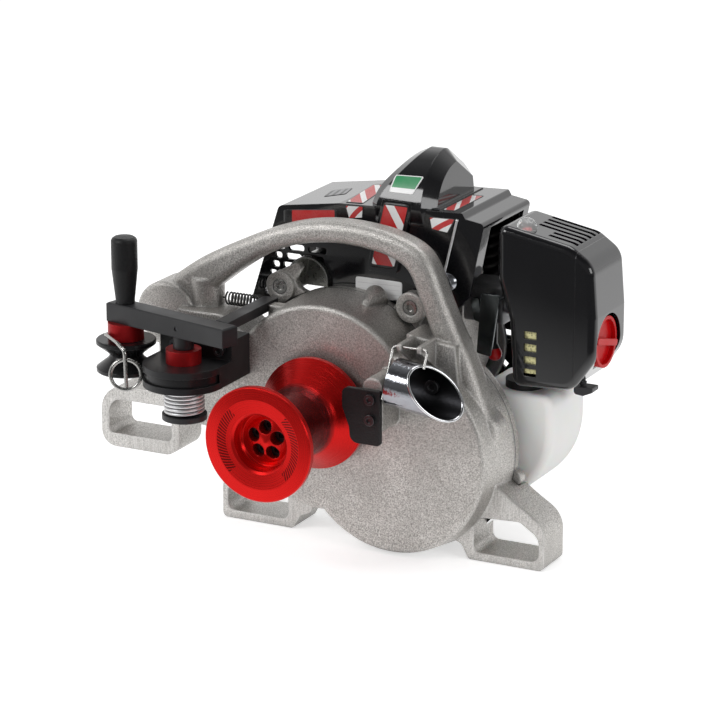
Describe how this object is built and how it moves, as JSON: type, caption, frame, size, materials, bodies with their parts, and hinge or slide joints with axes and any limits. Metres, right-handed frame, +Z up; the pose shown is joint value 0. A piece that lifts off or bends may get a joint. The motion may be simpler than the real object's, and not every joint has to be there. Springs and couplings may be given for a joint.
{
  "type": "capstan winch",
  "caption": "Portable petrol capstan winch: cast aluminium gear case with carry handle, red capstan drum, rope tail tensioner lever and engine behind",
  "frame": {"origin": "middle of the bounding box, on the ground under the feet", "axes": "+X along the length towards the air filter, -Y towards the capstan drum, +Z up"},
  "size_m": [0.486, 0.316, 0.3531],
  "materials": {
    "cast_aluminium": "sand cast, blasted",
    "red_anodised": "satin anodised",
    "black_steel": "blackened, satin",
    "dark_steel": "black oxide",
    "bright_steel": "ground",
    "plated_sheet": "bright plated",
    "zinc_wire": "zinc plated",
    "black_wire": "oiled black",
    "gloss_black": "glossy moulded",
    "red_plastic": "moulded",
    "matt_black": "fine grain",
    "tank_white": "translucent blow moulded",
    "clear_bulb": "clear soft plastic",
    "gasket_paper": "pressed paper",
    "seal_rubber": "smooth",
    "filter_foam": "open cell foam",
    "carb_zinc": "die cast",
    "ceramic": "glazed"
  },
  "bodies": {
    "frame": {"main_casting": "cast_aluminium", "rear_housing": "cast_aluminium", "case_gasket": "gasket_paper", "housing_bolts": "dark_steel", "gear_bearings": "bright_steel", "shaft_seal": "seal_rubber", "crankcase": "cast_aluminium", "cylinder": "cast_aluminium", "spark_plug": "ceramic", "muffler": "black_steel", "exhaust_hood": "plated_sheet", "starter_housing": "matt_black", "engine_shroud": "gloss_black", "plug_cover": "gloss_black", "shroud_screw": "plated_sheet", "filter_base": "gloss_black", "filter_cover": "gloss_black", "filter_element": "filter_foam", "primer_bulb": "clear_bulb", "carburettor": "carb_zinc", "throttle_bracket": "plated_sheet", "fuel_tank": "tank_white", "rear_foot": "matt_black", "guard_plate": "black_steel", "casting_screws": "dark_steel", "rope_guide": "plated_sheet", "guide_block": "matt_black", "axle_bush": "red_anodised", "pressure_spring": "zinc_wire", "return_spring": "black_wire"},
    "drum": {"capstan_drum": "red_anodised", "drum_screws": "dark_steel", "drum_shaft": "bright_steel", "drum_gear": "bright_steel"},
    "counter": {"counter_shaft": "bright_steel", "counter_gear": "bright_steel"},
    "clutch": {"clutch_drum": "bright_steel"},
    "crank": {"crankshaft": "bright_steel", "clutch_shoes": "bright_steel", "flywheel": "carb_zinc"},
    "piston_body": {"piston": "cast_aluminium"},
    "lever": {"lever_bar": "black_steel", "lever_axle": "black_steel", "spring_arm": "black_steel", "lever_fasteners": "dark_steel", "pulley_bush": "red_anodised", "pulley_axle": "dark_steel", "lynch_clip": "zinc_wire", "spring_washer": "black_steel"},
    "grip": {"turning_grip": "matt_black"},
    "pulley": {"rope_pulley": "matt_black"},
    "roller": {"pinch_roller": "matt_black"},
    "latch": {"latch_wire": "zinc_wire"},
    "knob": {"filter_knob": "red_plastic"},
    "cap": {"tank_cap": "matt_black"},
    "choke": {"choke_lever": "red_plastic"},
    "throttle": {"throttle_arm": "plated_sheet"},
    "flap": {"flap_lever": "plated_sheet"},
    "pull": {"starter_grip": "matt_black"}
  },
  "joints": [
    {"name": "drum_spin", "type": "hinge", "parent": "frame", "child": "drum", "pos_m": [0.002, -0.158, 0.128], "axis": [0, 1, 0], "continuous": true},
    {"name": "counter_spin", "type": "hinge", "parent": "frame", "child": "counter", "pos_m": [0.07275, 0.01, 0.09516], "axis": [0, 1, 0], "continuous": true},
    {"name": "clutch_spin", "type": "hinge", "parent": "frame", "child": "clutch", "pos_m": [0.05501, 0.01, 0.16184], "axis": [0, 1, 0], "continuous": true},
    {"name": "crank_spin", "type": "hinge", "parent": "frame", "child": "crank", "pos_m": [0.05501, 0.086, 0.16184], "axis": [0, 1, 0], "continuous": true},
    {"name": "piston_slide", "type": "slide", "parent": "frame", "child": "piston_body", "axis": [0, 0, 1], "range_m": [0, 0.034]},
    {"name": "lever_swing", "type": "hinge", "parent": "frame", "child": "lever", "pos_m": [-0.107, -0.096, 0.19696], "axis": [0, 0, 1], "range_deg": [0, 9], "stiffness_Nm_per_rad": 6, "springref_deg": -8.59, "deforming": ["return_spring"]},
    {"name": "grip_spin", "type": "hinge", "parent": "lever", "child": "grip", "pos_m": [-0.17632, -0.08063, 0.21446], "axis": [0, 0, 1], "continuous": true},
    {"name": "pulley_spin", "type": "hinge", "parent": "lever", "child": "pulley", "pos_m": [-0.17632, -0.08063, 0.15046], "axis": [0, 0, 1], "continuous": true},
    {"name": "roller_spin", "type": "hinge", "parent": "frame", "child": "roller", "pos_m": [-0.107, -0.096, 0.15146], "axis": [0, 0, 1], "continuous": true},
    {"name": "latch_swing", "type": "hinge", "parent": "frame", "child": "latch", "pos_m": [0.084, -0.057, 0.203], "axis": [-1, 0, 0], "range_deg": [0, 75]},
    {"name": "knob_turn", "type": "hinge", "parent": "frame", "child": "knob", "pos_m": [0.243, 0.052, 0.199], "axis": [1, 0, 0], "range_deg": [0, 90]},
    {"name": "cap_turn", "type": "hinge", "parent": "frame", "child": "cap", "pos_m": [0.161, 0.056, 0.146], "axis": [0, 0, 1], "continuous": true},
    {"name": "choke_swing", "type": "hinge", "parent": "frame", "child": "choke", "pos_m": [0.13501, 0.042, 0.204], "axis": [0, 1, 0], "range_deg": [0, 40]},
    {"name": "throttle_swing", "type": "hinge", "parent": "frame", "child": "throttle", "pos_m": [0.11701, 0.042, 0.22], "axis": [0, 1, 0], "range_deg": [0, 45], "stiffness_Nm_per_rad": 0.02, "springref_deg": -11.46},
    {"name": "flap_swing", "type": "hinge", "parent": "frame", "child": "flap", "pos_m": [0.217, 0.058, 0.155], "axis": [0, 0, 1], "range_deg": [0, 90]},
    {"name": "starter_pull", "type": "slide", "parent": "frame", "child": "pull", "axis": [-1, 0, 0], "range_m": [0, 0.3], "stiffness_N_per_m": 15, "springref_m": -0.1}
  ],
  "couplings": [
    {"joint": "counter_spin", "follows": "drum_spin", "ratio": -5.5},
    {"joint": "clutch_spin", "follows": "drum_spin", "ratio": 36.667}
  ]
}
